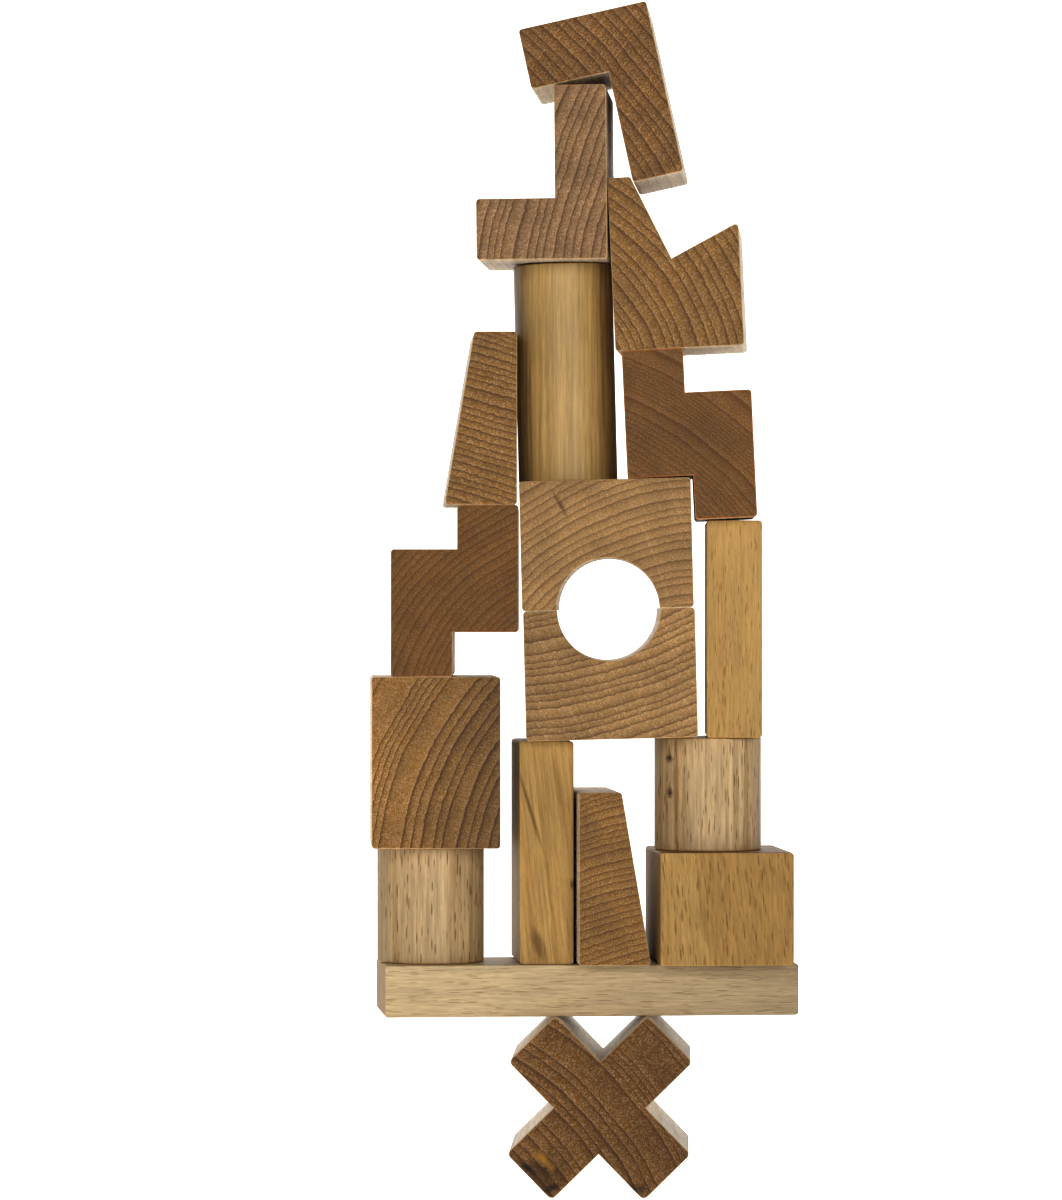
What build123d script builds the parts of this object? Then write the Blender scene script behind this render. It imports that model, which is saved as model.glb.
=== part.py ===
from build123d import *
import math
import os

# A tower of eighteen loose wooden blocks, each a prism, a drum or a column, balanced
# one on another. X runs to the right along the tower's front, Y runs back, Z is up.
# The origin is on the table, midway between the two corners that the cross stands on.
# Every block is drawn about the middle of its own base and then set in its place.

# ---- Driving dimensions, in millimetres and degrees -------------------------------
module = 12.5                   # the set's step: block outlines are whole or half steps
grain_depth = 4 * module        # front-to-back length of the blocks sawn from a moulding
strip_depth = 3 * module        # front-to-back width of the three flat strips
block_width = 3 * module
block_height = 4 * module

corner_r = 1.0                  # sanded corners of an outline
soft_corner_r = 1.6             # the cross, which is tumbled rounder
arris_r = 0.4                   # eased edges round the front and back faces
rim_r = 0.6                     # eased rims of the drums and the column
rest_gap = 0.03                 # faces that rest on each other are this far apart

cross_span = 56.85
cross_arm = 19.0
cross_skew = 1.2                # its top sits a little right of its feet
foot_flat = 0.8                 # width of the worn flat on each corner it stands on
plank_length = 121.4
plank_thickness = 15.1
pillar_width = 15.9
pillar_height = 65.2
bar_width = 16.3
bar_height = 63.5
cube_width = 39.0
cube_height = 32.9
drum_d = 31.4
left_drum_height = 34.0
right_drum_height = 33.2
column_d = 29.2
column_height = 64.0
arch_width = 50.0
arch_height = 37.8
arch_hole_r = 15.0
step_width = 37.2
step_rise = 12.9                # how far a step block's two columns are shifted
step_top_width = 18.0
step_foot_left = 19.3
wedge_height = 50.4
wedge_base = 21.1
wedge_top = 12.5
angle_width = 38.1              # the two angle blocks, one standing and one hooked over
angle_height = 50.7
angle_arm = 15.1
angle_bar = 17.8
notch_height = 50.5
notch_flat = 6.7                # flat at the notch block's high side
notch_floor_x = 17.6
notch_floor_z = 26.2
notch_low_side = 35.8

# Each block's turn about the vertical: plus shows its left side, minus its right side.
cross_turn = -1.7
plank_turn = 5.3
shelf_turn = 3.8                # pillar, low wedge and cube on the plank
big_block_turn = 2.3
left_wedge_turn = 1.9
upper_arch_turn = -1.3
bar_turn = -1.2
top_turn = -3.4                 # the notch block and the two angle blocks

# Each block's place: the middle of its base, right or left of the cross's middle.
plank_x = -3.9
left_drum_x = -49.7
big_block_x = -48.7
left_step_x = -42.3
left_wedge_x = -35.5
pillar_x = -16.8
low_wedge_x = 2.7
cube_x = 35.3
right_drum_x = 32.0
bar_x = 39.6
lower_arch_x = 3.5
upper_arch_shift = 0.3
column_shift = -11.0
right_step_x = 27.7
right_step_z = 197.15
right_step_lean = 2.7
notch_shift = -0.75
foot_x = -15.5
foot_lean = 0.5
foot_lift = 0.05
hook_x = 7.1
hook_z = 294.4
hook_lean = 12.4
drum_y = -2.5                   # the two drums stand a little forward


def seat(x, z, lean=0.0, turn=0.0, y=0.0):
    """Where a block's base stands. Lean lifts its right side, turn swings it."""
    return Pos(x, y, z) * Rot(0, 0, turn) * Rot(0, -lean, 0)


def is_outer(points, i):
    """True where an outline that runs anticlockwise has an outward corner."""
    before = points[i - 1]
    here = points[i]
    after = points[(i + 1) % len(points)]
    cross = (here[0] - before[0]) * (after[1] - here[1])
    cross -= (here[1] - before[1]) * (after[0] - here[0])
    return cross > 0


def ease_faces(block):
    """Round the edges of the front and the back face."""
    faces = block.faces().sort_by(Axis.Y)
    rims = faces[0].edges() + faces[-1].edges()
    return fillet(rims, arris_r)


def rounded_outline(points, radius):
    """A flat face with its outward corners rounded and its inward corners sharp."""
    face = make_face(Polyline(*points, close=True))
    outer = [points[i] for i in range(len(points)) if is_outer(points, i)]
    corners = [
        v for v in face.vertices()
        if any(math.dist((v.X, v.Y), p) < 1e-6 for p in outer)
    ]
    return fillet(corners, radius)


def prism(points, depth, radius=corner_r):
    """A block sawn across a moulding with this outline, front to back."""
    face = Plane.XZ * rounded_outline(points, radius)
    return ease_faces(extrude(face, depth / 2, both=True))


def rectangle(width, height):
    half = width / 2
    return [(-half, 0), (half, 0), (half, height), (-half, height)]


def mirrored(points):
    """The same outline seen from behind, still anticlockwise."""
    return [(-x, z) for x, z in reversed(points)]


def drum(diameter, height):
    body = Pos(0, 0, height / 2) * Cylinder(diameter / 2, height)
    rims = body.edges().filter_by(GeomType.CIRCLE)
    return fillet(rims, rim_r)


def cross_block():
    """A plus sign with equal arms, turned to stand on two of its corners."""
    long = cross_span / 2
    wide = cross_arm / 2
    corner = [(wide, wide), (wide, long), (-wide, long)]
    points = []
    for quarter in range(4):
        angle = math.radians(90 * quarter + 45)
        for x, z in corner:
            points.append((
                x * math.cos(angle) - z * math.sin(angle),
                x * math.sin(angle) + z * math.cos(angle),
            ))
    foot = min(z for x, z in points)
    slope = math.tan(math.radians(cross_skew))
    points = [(x + slope * (z - foot), z) for x, z in points]
    block = prism(points, grain_depth, soft_corner_r)
    worn = soft_corner_r - math.sqrt(soft_corner_r**2 - (foot_flat / 2) ** 2)
    low = block.bounding_box().min.Z
    block -= Pos(0, 0, low + worn - 5) * Box(100, 100, 10)
    return Pos(0, 0, -low - worn) * block


def step_outline():
    """Two square columns side by side, the right one raised by a step."""
    half = step_width / 2
    return [
        (-half, 0),
        (-half + step_top_width, 0),
        (-half + step_top_width, step_rise),
        (half, step_rise),
        (half, block_height),
        (-half + step_foot_left, block_height),
        (-half + step_foot_left, block_height - step_rise),
        (-half, block_height - step_rise),
    ]


def wedge_outline():
    """A right trapezoid, upright on its right side."""
    half = wedge_base / 2
    return [(-half, 0), (half, 0), (half, wedge_height), (half - wedge_top, wedge_height)]


def arch_outline():
    """A block's outline under a half-round bridge, without the bridge's hole."""
    return rectangle(arch_width, arch_height)


def arch_block():
    """A bridge block with a half-round passage through its foot."""
    face = rounded_outline(arch_outline(), corner_r) - Circle(arch_hole_r)
    body = extrude(Plane.XZ * face, grain_depth / 2, both=True)
    return ease_faces(body)


def foot_outline():
    """An angle block standing on its long foot, upright at its right end."""
    half = angle_width / 2
    return [
        (-half, 0),
        (half, 0),
        (half, angle_height),
        (half - angle_arm, angle_height),
        (half - angle_arm, angle_bar),
        (-half, angle_bar),
    ]


def hook_outline():
    """The same angle block hung head down: its bar is on top, its arm on the right."""
    return [(x, angle_height - z) for x, z in reversed(foot_outline())]


def notch_outline():
    """A block with a square-cornered notch sawn into its head."""
    half = block_width / 2
    return [
        (-half, 0),
        (half, 0),
        (half, notch_low_side),
        (-half + notch_floor_x, notch_floor_z),
        (-half + notch_flat, notch_height),
        (-half, notch_height),
    ]


# ---- The heights at which the stacks stand ----------------------------------------
cross = cross_block()
plank_z = cross.bounding_box().max.Z + rest_gap
shelf_z = plank_z + plank_thickness + rest_gap
big_block_z = shelf_z + left_drum_height + rest_gap
left_step_z = big_block_z + block_height + rest_gap
left_wedge_z = left_step_z + block_height + rest_gap
right_drum_z = shelf_z + cube_height + rest_gap
bar_z = right_drum_z + right_drum_height + rest_gap

# The lower arch's left end stands on the pillar and its right end on the higher drum.
arch_left = lower_arch_x - arch_width / 2
drum_left = right_drum_x - drum_d / 2
arch_rise = bar_z - (shelf_z + pillar_height)
arch_lean = math.degrees(math.atan2(arch_rise, drum_left - arch_left))
arch_z = bar_z + (lower_arch_x - drum_left) * math.tan(math.radians(arch_lean)) + rest_gap

lower_arch_seat = seat(lower_arch_x, arch_z, arch_lean)
upper_arch_seat = lower_arch_seat * Pos(upper_arch_shift, 0, arch_height + rest_gap)
upper_arch_seat = upper_arch_seat * Rot(0, 0, upper_arch_turn)
column_seat = upper_arch_seat * Pos(column_shift, 0, arch_height + rest_gap)
column_top = (column_seat * Pos(column_d / 2, 0, column_height)).position
foot_seat = seat(foot_x, column_top.Z + foot_lift, foot_lean, top_turn)
foot_seat = Pos(0, 0, -math.sin(math.radians(foot_lean)) * angle_width / 2) * foot_seat
right_step_seat = seat(right_step_x, right_step_z, right_step_lean, upper_arch_turn)
notch_seat = right_step_seat * Pos(notch_shift, 0, block_height + rest_gap)
notch_seat = notch_seat * Rot(0, 0, top_turn - upper_arch_turn)
hook_seat = seat(hook_x, hook_z, hook_lean, top_turn)

# ---- The blocks, from the table up ------------------------------------------------
upside_down = Pos(0, 0, arch_height) * Rot(180, 0, 0)

blocks = {
    "cross_block": seat(0, 0, turn=cross_turn) * cross,
    "base_plank": seat(plank_x, plank_z, turn=plank_turn)
    * prism(rectangle(plank_length, plank_thickness), strip_depth),
    "left_drum": seat(left_drum_x, shelf_z, y=drum_y) * drum(drum_d, left_drum_height),
    "big_block": seat(big_block_x, big_block_z, turn=big_block_turn)
    * prism(rectangle(block_width, block_height), grain_depth),
    "left_step_block": seat(left_step_x, left_step_z) * prism(step_outline(), grain_depth),
    "left_wedge": seat(left_wedge_x, left_wedge_z, turn=left_wedge_turn)
    * prism(wedge_outline(), grain_depth),
    "square_pillar": seat(pillar_x, shelf_z, turn=shelf_turn)
    * prism(rectangle(pillar_width, pillar_height), strip_depth),
    "low_wedge": seat(low_wedge_x, shelf_z, turn=shelf_turn)
    * prism(mirrored(wedge_outline()), grain_depth),
    "cube_block": seat(cube_x, shelf_z, turn=shelf_turn)
    * prism(rectangle(cube_width, cube_height), grain_depth),
    "right_drum": seat(right_drum_x, right_drum_z, y=drum_y)
    * drum(drum_d, right_drum_height),
    "right_bar": seat(bar_x, bar_z, turn=bar_turn)
    * prism(rectangle(bar_width, bar_height), strip_depth),
    "lower_arch": lower_arch_seat * upside_down * arch_block(),
    "upper_arch": upper_arch_seat * arch_block(),
    "tall_column": column_seat * drum(column_d, column_height),
    "right_step_block": right_step_seat * prism(mirrored(step_outline()), grain_depth),
    "notch_block": notch_seat * prism(notch_outline(), grain_depth),
    "foot_block": foot_seat * prism(foot_outline(), grain_depth),
    "hook_block": hook_seat * prism(hook_outline(), grain_depth),
}

os.makedirs("parts", exist_ok=True)
for name, block in blocks.items():
    export_step(block, f"parts/{name}.step")
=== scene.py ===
# %% [markdown]
# # A tower of balancing blocks
#
# Eighteen loose beech blocks stand one on another: a cross at the foot, a plank over it,
# then drums, wedges, arches, steps and angle blocks. Their shapes are exact solids that
# already exist, so this lesson keeps them and gives its effort to the wood. Each block
# was sawn from its own plank, so each one gets its own rings, its own pith and one of a
# few tones. That is what stops eighteen brown blocks from looking like one material.

# %% Load the solids
import math
import bpy
from mathutils import Euler, Matrix, Vector


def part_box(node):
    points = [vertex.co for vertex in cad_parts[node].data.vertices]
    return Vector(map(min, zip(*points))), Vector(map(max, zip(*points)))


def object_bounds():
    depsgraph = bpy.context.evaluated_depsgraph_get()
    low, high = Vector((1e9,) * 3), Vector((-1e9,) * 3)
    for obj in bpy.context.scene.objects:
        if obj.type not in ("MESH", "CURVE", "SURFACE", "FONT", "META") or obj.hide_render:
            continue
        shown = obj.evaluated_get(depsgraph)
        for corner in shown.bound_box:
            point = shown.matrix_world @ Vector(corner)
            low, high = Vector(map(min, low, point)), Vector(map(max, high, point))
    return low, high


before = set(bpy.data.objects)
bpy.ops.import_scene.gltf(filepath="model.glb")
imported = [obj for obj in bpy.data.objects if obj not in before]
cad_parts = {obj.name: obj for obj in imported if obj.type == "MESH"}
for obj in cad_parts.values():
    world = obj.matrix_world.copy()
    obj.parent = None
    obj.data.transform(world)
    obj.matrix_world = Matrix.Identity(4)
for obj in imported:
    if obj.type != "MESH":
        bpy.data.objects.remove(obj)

cad_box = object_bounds()
print("solids", len(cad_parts), "box", cad_box)

# %% [markdown]
# ## Colours
#
# A colour picked from a chart is an sRGB hex value, but shaders add and multiply light,
# so they want linear numbers. One function makes that change everywhere.

# %% Colours
def linear(hex_colour):
    """An sRGB hex value as a linear RGBA colour."""
    parts = [int(hex_colour[i:i + 2], 16) / 255 for i in (1, 3, 5)]
    curve = [c / 12.92 if c <= 0.04045 else ((c + 0.055) / 1.055) ** 2.4 for c in parts]
    return (*curve, 1.0)


WHITE = linear("#FFFFFF")
print("white", WHITE)

# %% [markdown]
# ## Nodes
#
# A long material stays readable if each node takes one statement. This helper adds a node,
# sets it up, links what feeds it and hands back one of its outputs, ready to feed the next.
# A colour ramp is a curve, so its points can be given too, as positions and greys.

# %% Nodes
def add(tree, kind, inputs=None, out=0, stops=(), **settings):
    """Adds a shader node, sets it, links it, and returns one of its outputs."""
    made = tree.nodes.new("ShaderNode" + kind)
    for name, value in settings.items():
        setattr(made, name, value)
    for _ in stops[2:]:
        made.color_ramp.elements.new(0.5)
    for i, (position, grey) in enumerate(stops):
        made.color_ramp.elements[i].position = position
        made.color_ramp.elements[i].color = (grey, grey, grey, 1.0)
    for key, value in (inputs or {}).items():
        if isinstance(value, bpy.types.NodeSocket):
            tree.links.new(value, made.inputs[key])
        else:
            made.inputs[key].default_value = value
    return made.outputs[out]


print("node helper ready")

# %% [markdown]
# ## The camera
#
# The tower is looked at from straight in front and from about a metre and a half away,
# with a long lens at half its height. A long lens keeps the blocks' sides narrow, and the
# low height shows a sliver of the undersides above it and of the top faces below it.

# %% Camera
camera_data = bpy.data.cameras.new("camera")
camera_data.sensor_fit = "HORIZONTAL"
camera_data.sensor_width = 36.0
camera_data.lens = 181.0
camera = bpy.data.objects.new("camera", camera_data)
bpy.context.collection.objects.link(camera)
camera.location = (-0.0201, -1.577, 0.1703)
camera.rotation_euler = (math.radians(90.129), 0.0, 0.0)
bpy.context.scene.camera = camera
print("lens", camera_data.lens, "mm")

# %% [markdown]
# ## The light table
#
# The tower stands on a light table, a sheet of white acrylic lit from below. That is why
# its undersides are bright and its feet throw no shadow. The sheet is pure white to look
# at and a little weaker than that as a light, so it doesn't wash the wood out. The light
# path tells the two apart.

# %% The sheet
floor_mesh = bpy.data.meshes.new("floor")
reach = 40.0                    # metres each way, so that its far edge is out of sight
ground = cad_box[0][2]
corners = [(-reach, -reach), (reach, -reach), (reach, reach), (-reach, reach)]
floor_mesh.from_pydata([(x, y, ground) for x, y in corners], [], [(0, 1, 2, 3)])
floor = bpy.data.objects.new("floor", floor_mesh)
bpy.context.collection.objects.link(floor)
print("floor at", round(ground, 6), "m")

# %% Its acrylic
glow_as_light = 0.70
glow_to_look_at = 1.0
acrylic = bpy.data.materials.new("white_acrylic_light_table")
acrylic.use_nodes = True
sheet = acrylic.node_tree.nodes["Principled BSDF"]
sheet.inputs["Base Color"].default_value = linear("#F4F4F3")
sheet.inputs["Roughness"].default_value = 0.6
sheet.inputs["Emission Color"].default_value = WHITE
looked_at = add(acrylic.node_tree, "LightPath")
glow = add(acrylic.node_tree, "MapRange", {0: looked_at, 3: glow_as_light, 4: glow_to_look_at})
acrylic.node_tree.links.new(glow, sheet.inputs["Emission Strength"])
floor_mesh.materials.append(acrylic)
print("sheet", acrylic.name)

# %% [markdown]
# ## The room
#
# The wall behind the tower is bright and the room in front of it is dim, so the sides of
# the blocks come out paler than their fronts. The change from one to the other follows
# how far back a direction points. As with the sheet, the room is pure white to look at.

# %% The room
dim_front = 0.05
bright_wall = 2.0
world = bpy.data.worlds.new("white_room")
world.use_nodes = True
room = world.node_tree.nodes["Background"]
room.inputs["Color"].default_value = WHITE
backwards = add(world.node_tree, "SeparateXYZ", {0: add(world.node_tree, "TexCoord")}, out=1)
strength = add(world.node_tree, "MapRange",
               {0: backwards, 1: 0.1, 2: 0.9, 3: dim_front, 4: bright_wall})
looked_at = add(world.node_tree, "LightPath")
strength = add(world.node_tree, "Math", {0: strength, 1: looked_at}, operation="MAXIMUM")
world.node_tree.links.new(strength, room.inputs["Strength"])
bpy.context.scene.world = world
bpy.context.scene.view_settings.view_transform = "Standard"
bpy.context.scene.view_settings.gamma = 0.8     # developed a little harder than neutral
print("wall is", bright_wall / dim_front, "times as bright as the front")

# %% [markdown]
# ## Two soft boxes
#
# They stand in front of the tower, one on each side. They make the drums look round, and
# they leave the sides that face into the stack dark.

# %% Soft boxes
box_size = 0.6
box_watts = 12.0
middle = Vector((0.0, 0.0, 0.17))               # half way up the tower
for name, place in (("left_box", (-0.45, -1.50, 0.55)), ("right_box", (0.50, -1.50, 0.45))):
    lamp_data = bpy.data.lights.new(name, "AREA")
    lamp_data.shape = "SQUARE"
    lamp_data.size = box_size
    lamp_data.energy = box_watts
    lamp = bpy.data.objects.new(name, lamp_data)
    bpy.context.collection.objects.link(lamp)
    lamp.location = place
    lamp.rotation_euler = (middle - Vector(place)).to_track_quat("-Z", "Y").to_euler()

# %% [markdown]
# ## Beech, in the tree's own directions
#
# Beech is a dense, even wood. Each year adds one ring: a wide pale layer, then a thin
# darker one. Rays are thin sheets that run out from the pith. Sawn across, they are
# fine pale lines; sawn along, they are the short dark flecks that everyone knows beech by.
#
# A picture of wood could be wrapped round each block, but its lines would break at every
# edge. Here the wood is solid. Every point is first turned into the tree's own
# directions: two across the trunk, measured from the pith, and one along the grain. So the
# rings on a block's end run on over its edge into the lines on its side, as they do in a
# real block, and they cannot slip when the block moves.

# %% Where a block lay in its tree
ACROSS_FRONT = Matrix(((1, 0, 0), (0, 0, 1), (0, -1, 0)))   # grain from front to back
ALONG_UP = Matrix(((1, 0, 0), (0, 1, 0), (0, 0, 1)))        # grain upright
ALONG_RIGHT = Matrix(((0, 1, 0), (0, 0, 1), (1, 0, 0)))     # grain from left to right
MM_PER_M = 1000.0


def tree_directions(tree, node, look):
    """A point in the tree's directions, in mm from the pith, and the way of the grain."""
    low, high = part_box(node)
    centre = 0.5 * MM_PER_M * (Vector(low) + Vector(high))
    lean = Euler((0.0, math.radians(-look["lean"]), 0.0)).to_matrix()
    turn = Euler((0.0, 0.0, math.radians(look["turn"]))).to_matrix()
    drift = Euler([math.radians(a) for a in look["drift"]]).to_matrix()
    cut = drift @ look["grain"] @ (turn @ lean).transposed()
    point = add(tree, "Mapping", {
        "Vector": add(tree, "TexCoord", out=3),
        "Location": -(cut @ centre) - Vector((*look["pith"], 0.0)),
        "Rotation": cut.to_euler(),
        "Scale": (MM_PER_M, MM_PER_M, MM_PER_M),
    })
    return point, cut.transposed() @ Vector((0.0, 0.0, 1.0))


print("grain directions ready")

# %% [markdown]
# ## How one block differs from the next
#
# These are the habits of an ordinary block. A block that differs says so in its own list,
# further down, and keeps the rest.

# %% An ordinary block
USUAL = dict(
    turn=0.0, lean=0.0,         # degrees: how the block stands in the tower
    drift=(0.0, 0.0, 0.0),      # degrees: grain that runs out of true
    ripple=0.5, jagged=0.7,     # mm: how far the edge of a ring wavers, and steps at rays
    uneven=1.8,                 # how far wide and narrow years differ, in rings
    ray_gap=0.62, ray_tall=4.0,  # mm: between rays, and along one
    streak=38.0,                # mm: length of a streak along the grain
    contrast=0.8, side_contrast=0.5,    # how dark the late wood is, on ends and on sides
    dust="#C2AA8A", dusty=0.28,         # what lies in the open pores, and how much
    fleck=0.5,                          # how dark the rays are on a side
    arris="#B08A55", burnish=0.5,       # the rubbed edges
    grainy=0.26, streaky=0.06, cloudy=0.12,     # how uneven the tone is, at three sizes
    fade=(0.0, 0.0, 0.0),       # change of tone per mm, in the tree's directions
    sanded=35.0, scratch=0.3,   # degrees: the belt's direction; and how deep it bit
    rough=0.55,
    spots=(),
)
print("habits", len(USUAL))

# %% [markdown]
# ## Patches
#
# Nothing in wood is quite even, and each kind of unevenness has its own size: a bend in a
# ring is centimetres long and a fibre is a fraction of a millimetre wide. This adds noise
# whose patches are a given number of millimetres long each way.

# %% Patches
def patches(tree, point, sizes, detail, rough, seed):
    """Smooth noise whose patches are this many millimetres long each way."""
    scaled = add(tree, "VectorMath", {0: point, 1: [1 / s for s in sizes]},
                 operation="MULTIPLY")
    moved = add(tree, "VectorMath", {0: scaled, 1: (seed, 2 * seed, 3 * seed)},
                operation="ADD")
    return add(tree, "TexNoise", {
        "Vector": moved, "Scale": 1.0, "Detail": detail, "Roughness": rough,
    })


print("patches ready")

# %% [markdown]
# ## Rings
#
# Distance from the pith gives the ring. A trunk is never round, so the distance is bent
# slowly, rippled a little, and stepped in and out wherever a ray crosses it, every ring at
# the same angles. Good summers make wide rings and bad ones narrow rings.

# %% How far out a point is
def out_from_pith(t, point, look):
    """Uneven distance from the pith, way round it and place along the grain, in mm."""
    across, upward, along = add(t, "SeparateXYZ", {0: point}).node.outputs
    flat = add(t, "CombineXYZ", {0: across, 1: upward, 2: 0.0})
    radius = add(t, "VectorMath", {0: flat}, out=1, operation="LENGTH")
    bend = patches(t, point, (26, 26, 90), 1.0, 0.5, look["seed"])
    ripple = patches(t, point, (2.6, 2.6, 12), 1.0, 0.5, look["seed"] + 5)
    radius = add(t, "Math", {0: bend, 1: 2.5, 2: radius}, operation="MULTIPLY_ADD")
    radius = add(t, "Math", {0: ripple, 1: look["ripple"], 2: radius},
                 operation="MULTIPLY_ADD")
    angle = add(t, "Math", {0: upward, 1: across}, operation="ARCTAN2")
    way_round = add(t, "Math", {0: angle, 1: Vector(look["pith"]).length},
                    operation="MULTIPLY")
    finely = add(t, "Math", {0: way_round, 1: 0.7}, operation="MULTIPLY")
    steps = add(t, "TexNoise", {"W": finely, "Scale": 1.0, "Detail": 3.0, "Roughness": 0.6},
                noise_dimensions="1D")
    radius = add(t, "Math", {0: steps, 1: look["jagged"], 2: radius},
                 operation="MULTIPLY_ADD")
    return radius, way_round, along, ripple


print("distances ready")

# %% Which year it grew in
def years(t, radius, look):
    """The late wood, the first wood and the tone of each year's ring."""
    slowly = add(t, "Math", {0: radius, 1: 0.12}, operation="MULTIPLY")
    summer = add(t, "TexNoise", {"W": slowly, "Scale": 1.0, "Detail": 0.0},
                 noise_dimensions="1D")
    ring = add(t, "Math", {0: radius, 1: look["ring"]}, operation="DIVIDE")
    ring = add(t, "Math", {0: summer, 1: look["uneven"], 2: ring},
               operation="MULTIPLY_ADD")
    part = add(t, "Math", {0: ring}, operation="FRACT")
    late = add(t, "ValToRGB", {0: part}, stops=[
        (0.0, 0.0), (0.30, 0.10), (0.72, 0.45), (0.90, 1.0), (1.0, 0.9)])
    first = add(t, "ValToRGB", {0: part}, stops=[(0.0, 1.0), (0.13, 0.0)])
    year = add(t, "Math", {0: ring}, operation="FLOOR")
    season = add(t, "TexWhiteNoise", {"W": year}, noise_dimensions="1D")
    return late, first, season


print("years ready")

# %% [markdown]
# ## Rays
#
# The way round the pith gives the ray. Rays are thin sheets a few tenths of a millimetre
# thick and a few millimetres tall, scattered like bricks laid at random, so each is a cell
# of a Voronoi pattern that is narrow round the trunk and long along it and outwards.

# %% Rays
def rays(t, radius, way_round, along, ripple, look):
    """1 inside a ray, 0 elsewhere."""
    narrow = add(t, "Math", {0: way_round, 1: look["ray_gap"]}, operation="DIVIDE")
    narrow = add(t, "Math", {0: ripple, 1: 0.8, 2: narrow}, operation="MULTIPLY_ADD")
    tall = add(t, "Math", {0: along, 1: look["ray_tall"]}, operation="DIVIDE")
    deep = add(t, "Math", {0: radius, 1: 13.0}, operation="DIVIDE")
    cell = add(t, "CombineXYZ", {0: narrow, 1: tall, 2: deep})
    near = add(t, "TexVoronoi", {"Vector": cell, "Scale": 1.0, "Randomness": 1.0})
    own = add(t, "SeparateColor", {0: near.node.outputs["Color"]})
    size = add(t, "Math", {0: own, 1: 0.20, 2: near}, operation="MULTIPLY_ADD")
    return add(t, "ValToRGB", {0: size}, stops=[(0.28, 1.0), (0.38, 0.0)])


print("rays ready")

# %% [markdown]
# ## The end of a block
#
# Sawn across, beech is brown and darker at the end of each year, with pale sanding dust in
# the open pores. The dust is thickest in the first wood of a year, and the rays show as
# pale lines. A year's dark layer is the same wood shaded, so it is a multiplier and not a
# second colour.

# %% End grain
LATE_SHADE = (0.36, 0.29, 0.21, 1.0)     # the dark layer against the rest of a ring


def end_grain(t, point, late, first, ray, look):
    """The colour of a face sawn across the grain."""
    dark = add(t, "Math", {0: late, 1: look["contrast"]}, operation="MULTIPLY")
    colour = add(t, "Mix", {0: dark, 6: linear(look["wood"]), 7: LATE_SHADE}, out=2,
                 data_type="RGBA", blend_type="MULTIPLY")
    pores = patches(t, point, (0.38, 0.38, 3.0), 0.0, 0.5, look["seed"] + 21)
    dust = add(t, "ValToRGB", {0: pores}, stops=[(0.46, 0.0), (0.74, 1.0)])
    for layer, share in ((first, 0.6), (ray, 0.5)):
        pale = add(t, "Math", {0: layer, 1: share}, operation="MULTIPLY")
        dust = add(t, "Math", {0: dust, 1: pale}, operation="MAXIMUM")
    swept = add(t, "Math", {0: late, 1: -0.8, 2: 1.0}, operation="MULTIPLY_ADD")
    dust = add(t, "Math", {0: dust, 1: swept}, operation="MULTIPLY")
    dust = add(t, "Math", {0: dust, 1: look["dusty"]}, operation="MULTIPLY")
    return add(t, "Mix", {0: dust, 6: colour, 7: linear(look["dust"])}, out=2,
               data_type="RGBA")


print("end grain ready")

# %% [markdown]
# ## The side of a block
#
# Cut along, the same wood is pale, with faint ring lines and the dark flecks of the rays.

# %% Side grain
SIDE_SHADE = (0.74, 0.64, 0.50, 1.0)     # the dark layer, where the wood is cut along
FLECK_SHADE = (0.46, 0.34, 0.20, 1.0)    # a ray that comes out on a side


def side_grain(t, late, ray, look):
    """The colour of a face cut along the grain."""
    colour = linear(look["side"])
    for layer, share, shade in ((late, look["side_contrast"], SIDE_SHADE),
                                (ray, look["fleck"], FLECK_SHADE)):
        amount = add(t, "Math", {0: layer, 1: share}, operation="MULTIPLY")
        colour = add(t, "Mix", {0: amount, 6: colour, 7: shade}, out=2,
                     data_type="RGBA", blend_type="MULTIPLY")
    return colour


print("side grain ready")

# %% [markdown]
# ## Ends, sides and edges together
#
# The angle between a face and the grain says which of the two it is. Easing an arris
# burnishes it, so the thin rounded strip between them is warmer than both.

# %% Faces
def faces(t, grain, end_wood, side_wood, look):
    """The colour of every face, and 1 on an end face fading to 0 on a side."""
    normal = add(t, "TexCoord", out=1)
    across_cut = add(t, "VectorMath", {0: normal, 1: grain}, out=1,
                     operation="DOT_PRODUCT")
    across_cut = add(t, "Math", {0: across_cut}, operation="ABSOLUTE")
    end = add(t, "ValToRGB", {0: across_cut}, stops=[(0.35, 0.0), (0.93, 1.0)])
    colour = add(t, "Mix", {0: end, 6: side_wood, 7: end_wood}, out=2, data_type="RGBA")
    arris = add(t, "ValToRGB", {0: across_cut}, stops=[
        (0.12, 0.0), (0.30, 1.0), (0.85, 1.0), (0.985, 0.0)])
    rubbed = add(t, "Math", {0: arris, 1: look["burnish"]}, operation="MULTIPLY")
    colour = add(t, "Mix", {0: rubbed, 6: colour, 7: linear(look["arris"])}, out=2,
                 data_type="RGBA")
    return colour, end


print("faces ready")

# %% [markdown]
# ## Tone
#
# Every year's wood takes its own tone, and a block may darken steadily across. On top of
# that come fibres, streaks along the grain and slow stains. Real fibres are under 0.1 mm
# wide; these are half a millimetre, the finest that shows at this size.

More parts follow.
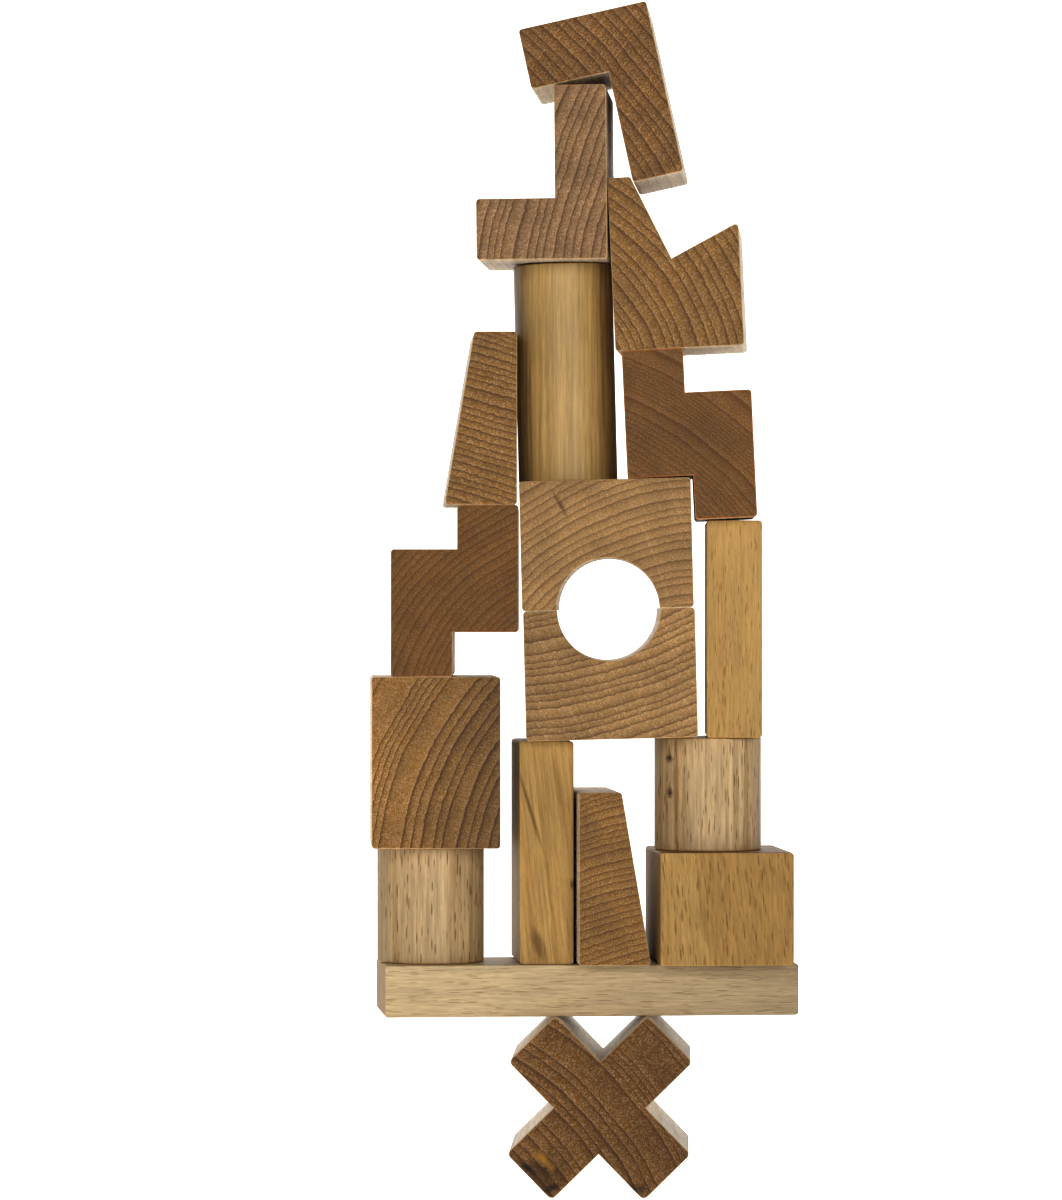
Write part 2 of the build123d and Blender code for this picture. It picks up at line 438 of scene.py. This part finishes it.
# %% Tone
def uneven_tone(t, point, season, fibre, look):
    """A number near 1 that the wood's colour is multiplied by."""
    tone = add(t, "Math", {0: season, 1: 0.10, 2: 0.95}, operation="MULTIPLY_ADD")
    fade = Vector(look["fade"])
    at_middle = 1.0 + fade.xy @ Vector(look["pith"])
    inwards = add(t, "VectorMath", {0: point, 1: fade}, out=1, operation="DOT_PRODUCT")
    inwards = add(t, "Math", {0: inwards, 1: at_middle}, operation="ADD")
    tone = add(t, "Math", {0: tone, 1: inwards}, operation="MULTIPLY")
    streak = patches(t, point, (1.1, 1.1, look["streak"]), 2.0, 0.6, look["seed"] + 11)
    cloud = patches(t, point, (11, 11, 30), 2.0, 0.5, look["seed"] + 13)
    for noise, width, amount in ((fibre, 0.20, look["grainy"]),
                                 (streak, 0.20, look["streaky"]),
                                 (cloud, 0.18, look["cloudy"])):
        swing = add(t, "MapRange", {0: noise, 1: 0.5 - width, 2: 0.5 + width,
                                    3: 1.0 - amount, 4: 1.0 + amount})
        tone = add(t, "Math", {0: tone, 1: swing}, operation="MULTIPLY")
    return tone


print("tone ready")

# %% [markdown]
# ## Sanding
#
# A belt sander leaves fine scratches on an end face, all one way. They are paler than the
# wood round them. A real scratch is a tenth of a millimetre wide, and these are three
# tenths, the finest that shows at this size.

# %% Scratches
def belt_scratches(t, point, end, look):
    """1 in a scratch on an end face, 0 elsewhere."""
    swept = add(t, "Mapping", {"Vector": point,
                               "Rotation": (0.0, 0.0, math.radians(-look["sanded"]))})
    scratch = patches(t, swept, (40, 0.34, 40), 1.0, 0.5, look["seed"] + 17)
    scratch = add(t, "ValToRGB", {0: scratch}, stops=[(0.58, 0.0), (0.70, 1.0)])
    return add(t, "Math", {0: scratch, 1: end}, operation="MULTIPLY")


print("sanding ready")

# %% [markdown]
# ## Stains and painted shade
#
# Heartwood, knots and checks are dark places with a shape: a ball squashed or drawn out by
# its three sizes and turned. Noise added to the distance from its middle makes the edge
# ragged, so a spot ends up smaller than its sizes say. The same dark places also serve as
# painted shade, down the two sides of the column.

# %% Stains and painted shade
def stain_and_painted_shade(t, point, colour, spot, pith):
    """A dark place with a ragged edge: heartwood, knots, checks and painted shade."""
    at = Vector((spot["at"][0] - pith[0], spot["at"][1] - pith[1], spot["at"][2]))
    ragged = patches(t, point, spot.get("grain", (3, 3, 9)), 3.0, 0.6, spot["seed"])
    away = add(t, "VectorMath", {0: point, 1: at}, operation="SUBTRACT")
    tilt = [math.radians(a) for a in spot.get("tilt", (0.0, 0.0, 0.0))]
    away = add(t, "Mapping", {"Vector": away, "Rotation": tilt})
    away = add(t, "VectorMath", {0: away, 1: [1 / s for s in spot["size"]]},
               operation="MULTIPLY")
    far = add(t, "VectorMath", {0: away}, out=1, operation="LENGTH")
    far = add(t, "Math", {0: ragged, 1: 1.2, 2: far}, operation="MULTIPLY_ADD")
    far = add(t, "Math", {0: far, 1: 0.5}, operation="MULTIPLY")
    inside = add(t, "ValToRGB", {0: far}, stops=[(0.42, 1.0), (0.72, 0.0)])
    amount = add(t, "Math", {0: inside, 1: spot["amount"]}, operation="MULTIPLY")
    return add(t, "Mix", {0: amount, 6: colour, 7: linear(spot["colour"])}, out=2,
               data_type="RGBA")


print("stains ready")

# %% [markdown]
# ## Relief
#
# The dark edge of each year and each scratch is a groove a few hundredths of a millimetre
# deep, and the fibres stand about as far proud. Too fine to model, this goes into the
# bump. Fibres also spread the shine, so the roughness follows them. Wood's index of refraction is about 1.5,
# and open fibres shine less than a sealed surface would.

# %% Relief
def relief(t, shader, late, fibre, scratch, look):
    """Sets the shader's bump and shine from the wood."""
    height = add(t, "Math", {0: fibre, 1: 0.8}, operation="MULTIPLY")
    height = add(t, "Math", {0: late, 1: -0.35, 2: height}, operation="MULTIPLY_ADD")
    height = add(t, "Math", {0: scratch, 1: -0.4, 2: height}, operation="MULTIPLY_ADD")
    bump = add(t, "Bump", {"Strength": 0.35, "Distance": 0.00012, "Height": height})
    t.links.new(bump, shader.inputs["Normal"])
    rough = add(t, "Math", {0: fibre, 1: 0.16, 2: look["rough"] - 0.08},
                operation="MULTIPLY_ADD")
    t.links.new(rough, shader.inputs["Roughness"])
    shader.inputs["IOR"].default_value = 1.5
    shader.inputs["Specular IOR Level"].default_value = 0.2


print("relief ready")

# %% [markdown]
# ## One block of beech
#
# All of it comes together here, and the block's solid gets the result as its only
# material.

# %% Beech
def beech(node, name, own_look):
    """Gives one block its own piece of sawn and sanded beech."""
    look = {**USUAL, **own_look}
    wood = bpy.data.materials.new(name)
    wood.use_nodes = True
    t = wood.node_tree
    shader = t.nodes["Principled BSDF"]
    point, grain = tree_directions(t, node, look)
    radius, way_round, along, ripple = out_from_pith(t, point, look)
    late, first, season = years(t, radius, look)
    ray = rays(t, radius, way_round, along, ripple, look)
    end_wood = end_grain(t, point, late, first, ray, look)
    side_wood = side_grain(t, late, ray, look)
    colour, end = faces(t, grain, end_wood, side_wood, look)
    fibre = patches(t, point, (0.5, 0.5, 8.0), 3.0, 0.75, look["seed"] + 9)
    tone = uneven_tone(t, point, season, fibre, look)
    scratch = belt_scratches(t, point, end, look)
    paler = add(t, "Math", {0: scratch, 1: look["scratch"], 2: 1.0},
                operation="MULTIPLY_ADD")
    tone = add(t, "Math", {0: tone, 1: paler}, operation="MULTIPLY")
    shade = add(t, "CombineColor", {0: tone, 1: tone, 2: tone})
    colour = add(t, "Mix", {0: 1.0, 6: colour, 7: shade}, out=2, data_type="RGBA",
                 blend_type="MULTIPLY")
    for spot in look["spots"]:
        colour = stain_and_painted_shade(t, point, colour, spot, look["pith"])
    t.links.new(colour, shader.inputs["Base Color"])
    relief(t, shader, late, fibre, scratch, look)
    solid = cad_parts[node]
    solid.data.materials.clear()
    solid.data.materials.append(wood)


print("beech ready")

# %% [markdown]
# ## The moulded blocks
#
# Eleven blocks were cut like slices of bread from long mouldings, so their outline is the
# moulding's section and their front is end grain. End grain drinks light and looks much
# browner than the sides of the same block. Where the rings of a front are nearly
# straight, the pith was far away; where they are arcs, it was close by. The two numbers
# of a pith are its place right and up from the middle of the block, in millimetres.

# %% Marks in the end grain
heart = [
    dict(at=(-17.5, -19.5, 0), size=(12, 9, 90), tilt=(0, 0, -45),
         colour="#2E1A07", amount=0.8, seed=31.0),
    dict(at=(-16.5, -15.0, 0), size=(6, 2.6, 90), tilt=(0, 0, 40), colour="#9A7028",
         amount=0.8, seed=36.0),
    dict(at=(-21.0, -17.5, 0), size=(4, 1.2, 90), tilt=(0, 0, 35), colour="#080402",
         amount=0.9, seed=32.0),
    dict(at=(-13.5, -23.0, 0), size=(5, 1.8, 90), tilt=(0, 0, -30), colour="#080402",
         amount=0.9, seed=33.0),
    dict(at=(10.0, -23.5, 0), size=(5, 2.6, 90), colour="#1E1006", amount=0.75, seed=34.0),
]
check = [
    dict(at=(-13.4, 11.7, 0), size=(1.1, 6, 90), tilt=(0, 0, -28), colour="#3A2410",
         amount=0.75, seed=35.0),
]
print("marks", len(heart) + len(check))

# %% The moulded blocks
SMOKY_END = "#62400E"      # four tones of end grain, and one for the sides
BROWN_END = "#745220"
GREY_END = "#785A3A"
PALE_END = "#85663C"
MOULDED_SIDE = "#CDBDA6"
MOULDED = dict(side=MOULDED_SIDE, fleck=0.25, grain=ACROSS_FRONT)
moulded_looks = {
    "hook_block": dict(wood=SMOKY_END, pith=(-132, -72), ring=2.9, lean=12.4, turn=-3.4,
                       contrast=0.75, scratch=0.6, sanded=42, seed=1.3),
    "foot_block": dict(wood=GREY_END, pith=(171, -56), ring=2.7, lean=0.5, turn=-3.4,
                       contrast=0.85, scratch=0.2, sanded=8, seed=2.1),
    "notch_block": dict(wood=BROWN_END, pith=(-58, -38), ring=2.9, lean=2.7, turn=-3.4,
                        scratch=0.25, sanded=35, seed=3.7),
    "left_wedge": dict(wood=BROWN_END, pith=(-45, -170), ring=2.1, turn=1.9,
                       contrast=0.9, scratch=0.15, sanded=20, seed=4.4),
    "low_wedge": dict(wood=BROWN_END, pith=(45, -170), ring=2.1, turn=3.8,
                      contrast=0.7, scratch=0.15, sanded=60, seed=5.2),
    "upper_arch": dict(wood=PALE_END, pith=(30, -67), ring=2.5, turn=-1.3,
                       contrast=0.7, scratch=0.2, sanded=-70, seed=6.6, spots=check),
    "lower_arch": dict(wood=PALE_END, pith=(-35, 140), ring=2.5, lean=1.4, ripple=0.8,
                       fade=(0.005, 0, 0), scratch=0.3, sanded=-60, seed=7.1),
    "big_block": dict(wood=BROWN_END, pith=(85, -38), ring=3.2, turn=2.3, uneven=2.2,
                      fade=(-0.017, 0, 0), contrast=0.95, scratch=0.15, sanded=60,
                      seed=8.8),
    "left_step_block": dict(wood=SMOKY_END, pith=(45, -45), ring=2.2, dust="#9A8474",
                            dusty=0.22, contrast=0.5, scratch=0.0, arris="#A8703A",
                            seed=9.5),
    "right_step_block": dict(wood=SMOKY_END, pith=(-60, -80), ring=1.6, lean=2.7,
                             turn=-1.3, dust="#9A8878", dusty=0.25, contrast=0.5,
                             uneven=3.5, scratch=0.0, arris="#B0682C", burnish=0.8,
                             seed=10.9),
    "cross_block": dict(wood=SMOKY_END, pith=(-70, -62), ring=3.3, turn=-1.7, uneven=2.6,
                        fade=(-0.004, 0, 0), scratch=0.1, sanded=40, seed=11.4,
                        spots=heart),
}
for node, look in moulded_looks.items():
    beech(node, "sanded_beech_end_grain_" + node, {**MOULDED, **look})
print("moulded blocks", len(moulded_looks))

# %% [markdown]
# ## The bars, drums and column
#
# The other seven blocks were ripped or turned along the grain, so their fronts show the
# long wood: pale, with flecks where the rays come to the surface. The plank and the drums
# are the palest. The bar, the cube and the pillar are golden, and the pillar has a streak
# of dark heartwood. The column is closer in the grain and smoother than the rest. Dark
# bands down both sides of the column are painted shade, and so is the darkening towards
# the plank's right end.

# %% Marks in the long grain
knots = [
    dict(at=(-11.5, -10.7, 10.5), size=(1.6, 9, 2.2), colour="#2A1405", amount=0.9,
         grain=(1, 1, 1), seed=41.0),
    dict(at=(-11.5, -10.7, 0.5), size=(1.4, 9, 2.4), colour="#2A1405", amount=0.85,
         grain=(1, 1, 1), seed=42.0),
    dict(at=(-9.5, -12.5, 0), size=(1.2, 9, 26), colour="#6B4522", amount=0.6, seed=43.0),
]
heart_streaks = [
    dict(at=(-3.6, -18, 14), size=(0.8, 30, 20), tilt=(0, 11, 0), colour="#4E3413",
         amount=0.75, grain=(3, 3, 12), seed=44.0),
    dict(at=(-5.0, -18, -27), size=(2.6, 30, 8), tilt=(0, 10, 0), colour="#4E3413",
         amount=0.7, grain=(1.5, 1.5, 9), seed=45.0),
    dict(at=(6.6, -18, -10), size=(1.2, 30, 2.6), colour="#3A2409", amount=0.8, seed=46.0),
    dict(at=(5.6, -18, 17), size=(1.6, 30, 18), tilt=(0, 3, 0), colour="#6E4E22",
         amount=0.6, grain=(2, 2, 12), seed=47.0),
]
# Painted shade: two dark bands down the sides of the column, where the blocks beside it shade it.
painted_shade_flanks = [
    dict(at=(-15.2, -6, 0), size=(7.0, 20, 150), colour="#2A1204", amount=0.65,
         grain=(1, 1, 30), seed=51.0),
    dict(at=(15.5, -6, 0), size=(11.0, 20, 150), colour="#4A2308", amount=0.6,
         grain=(1, 1, 30), seed=52.0),
]
print("marks", len(knots) + len(heart_streaks) + len(painted_shade_flanks))

# %% The bars, drums and column
PALE_SIDE = "#A69474"      # four tones of long grain, and one for the sawn ends
DRUM_SIDE = "#A68F6C"
GOLDEN_SIDE = "#987A47"
COLUMN_SIDE = "#9C8254"
SAWN_END = "#9A784F"
LONG = dict(wood=SAWN_END, grain=ALONG_UP, grainy=0.2, cloudy=0.07)
long_looks = {
    # The plank's fade darkens it towards its right end: painted shade, under the cube.
    "base_plank": dict(side=PALE_SIDE, grain=ALONG_RIGHT, turn=5.3, pith=(70, 4), ring=4.0,
                       fade=(0, 0, -0.0035), fleck=0.55, ray_gap=0.4, ray_tall=6.5,
                       streaky=0.1, seed=12.3),
    "left_drum": dict(side=DRUM_SIDE, pith=(8, 60), ring=3.6, fleck=0.85, ray_gap=0.6,
                      ray_tall=6.5, streaky=0.2, seed=13.9, rough=0.5),
    "right_drum": dict(side=DRUM_SIDE, pith=(-10, 60), ring=3.6, fade=(0.004, 0, 0),
                       fleck=0.8, ray_gap=0.55, ray_tall=6.5, streaky=0.24, seed=14.2,
                       rough=0.5, spots=knots),
    "right_bar": dict(side=GOLDEN_SIDE, turn=-1.2, pith=(6, 70), ring=5.0, fleck=0.6,
                      ray_gap=0.5, ray_tall=5.5, streaky=0.08, seed=15.8, rough=0.5),
    "cube_block": dict(side=GOLDEN_SIDE, turn=3.8, pith=(12, 75), ring=5.0, fleck=0.75,
                       ray_gap=0.5, ray_tall=6.5, streaky=0.16, streak=9.0, seed=16.5,
                       drift=(0.0, 5.0, 0.0)),
    "square_pillar": dict(side=GOLDEN_SIDE, turn=3.8, pith=(48, 30), ring=5.0,
                          fleck=0.15, streaky=0.18, seed=17.1, drift=(0.0, 6.0, 0.0),
                          spots=heart_streaks),
    "tall_column": dict(side=COLUMN_SIDE, pith=(90, -30), ring=1.9, fleck=0.0,
                        side_contrast=0.3, streaky=0.16, grainy=0.16, seed=18.6,
                        jagged=0.0, rough=0.38, spots=painted_shade_flanks),
}
for node, look in long_looks.items():
    beech(node, "planed_beech_" + node, {**LONG, **look})
print("long grain blocks", len(long_looks))
